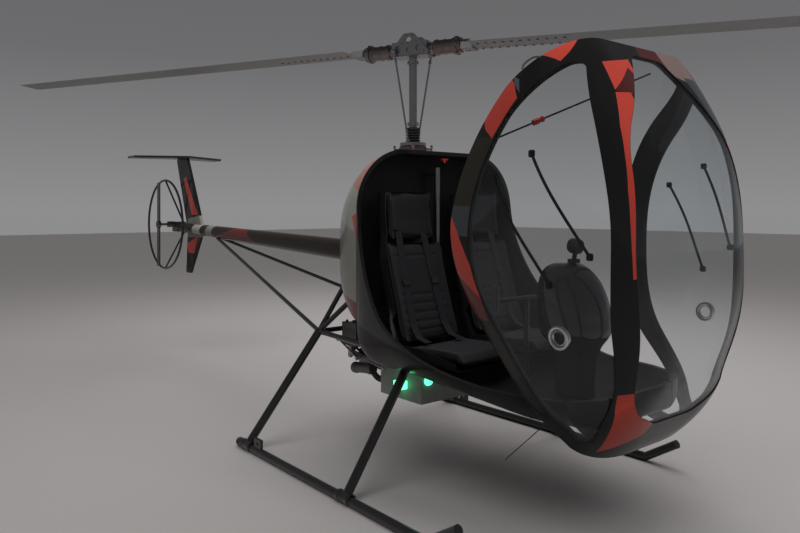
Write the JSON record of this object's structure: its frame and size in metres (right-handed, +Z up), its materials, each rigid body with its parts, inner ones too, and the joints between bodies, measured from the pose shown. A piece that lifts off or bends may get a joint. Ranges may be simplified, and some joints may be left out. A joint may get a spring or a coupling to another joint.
{
  "type": "light helicopter",
  "caption": "Light side-by-side helicopter on skids with a forward-tilting bubble canopy, slim tail boom and ringed tail rotor.",
  "frame": {"origin": "bottom centre of the overall box, on the floor between the skids", "axes": "+X towards the nose, +Y to port, +Z up"},
  "size_m": [7.507, 3.086, 2.575],
  "materials": {
    "blade_grey": "satin",
    "boom_paint": "gloss",
    "bright_metal": "satin",
    "canopy_paint": "gloss",
    "cast_alloy": "cast",
    "clear_glass": "clear",
    "exhaust_steel": "brushed",
    "fin_paint": "gloss",
    "gloss_black": "gloss",
    "grey_panel": "satin",
    "lamp_green": "gloss",
    "lamp_red": "gloss",
    "rubber_black": "matte",
    "satin_black": "satin",
    "seat_cloth": "woven",
    "shell_paint": "gloss",
    "trim_black": "matte",
    "tub_black": "satin"
  },
  "bodies": {
    "airframe": {"belly_box": "grey_panel", "boom_braces": "satin_black", "bulkhead": "trim_black", "canopy_hinges": "bright_metal", "control_tube": "bright_metal", "cyclic_bar": "satin_black", "engine": "cast_alloy", "exhaust_pipes": "exhaust_steel", "fin_lower": "fin_paint", "fin_upper": "fin_paint", "floor_tub": "tub_black", "frame_tubes": "satin_black", "guard_ring": "satin_black", "instrument_pod": "gloss_black", "leg_front_left": "satin_black", "leg_front_right": "satin_black", "leg_rear_left": "satin_black", "leg_rear_right": "satin_black", "main_gearbox": "cast_alloy", "muffler": "exhaust_steel", "nav_light_left": "lamp_red", "nav_light_right": "lamp_green", "rear_shell": "shell_paint", "seat_box": "trim_black", "seat_left": "seat_cloth", "seat_right": "seat_cloth", "skid_left": "satin_black", "skid_right": "satin_black", "stabiliser": "satin_black", "swashplate_lower": "cast_alloy", "tail_boom": "boom_paint", "tail_gearbox": "cast_alloy", "whip_antenna": "satin_black"},
    "canopy": {"canopy_frame": "canopy_paint", "side_window_left": "clear_glass", "side_window_right": "clear_glass", "windscreen": "clear_glass"},
    "main_rotor": {"blade_aft": "blade_grey", "blade_forward": "blade_grey", "mast": "bright_metal", "mast_boot": "rubber_black", "pitch_links": "bright_metal", "rotor_hub": "bright_metal", "swashplate_upper": "bright_metal"},
    "tail_rotor": {"tail_blades": "satin_black", "tail_rotor_hub": "bright_metal"}
  },
  "joints": [
    {"name": "main_rotor_spin", "type": "hinge", "parent": "airframe", "child": "main_rotor", "pos_m": [0.43453, 0, 2.48], "axis": [0, 0, 1], "continuous": true},
    {"name": "tail_rotor_spin", "type": "hinge", "parent": "airframe", "child": "tail_rotor", "pos_m": [-3.29547, -0.205, 1.32], "axis": [0, -1, 0], "continuous": true},
    {"name": "canopy_tilt", "type": "hinge", "parent": "airframe", "child": "canopy", "pos_m": [1.79853, 0, 0.568], "axis": [0, -1, 0], "range_deg": [0, 49.3]}
  ],
  "couplings": [
    {"joint": "tail_rotor_spin", "follows": "main_rotor_spin", "ratio": 5}
  ]
}
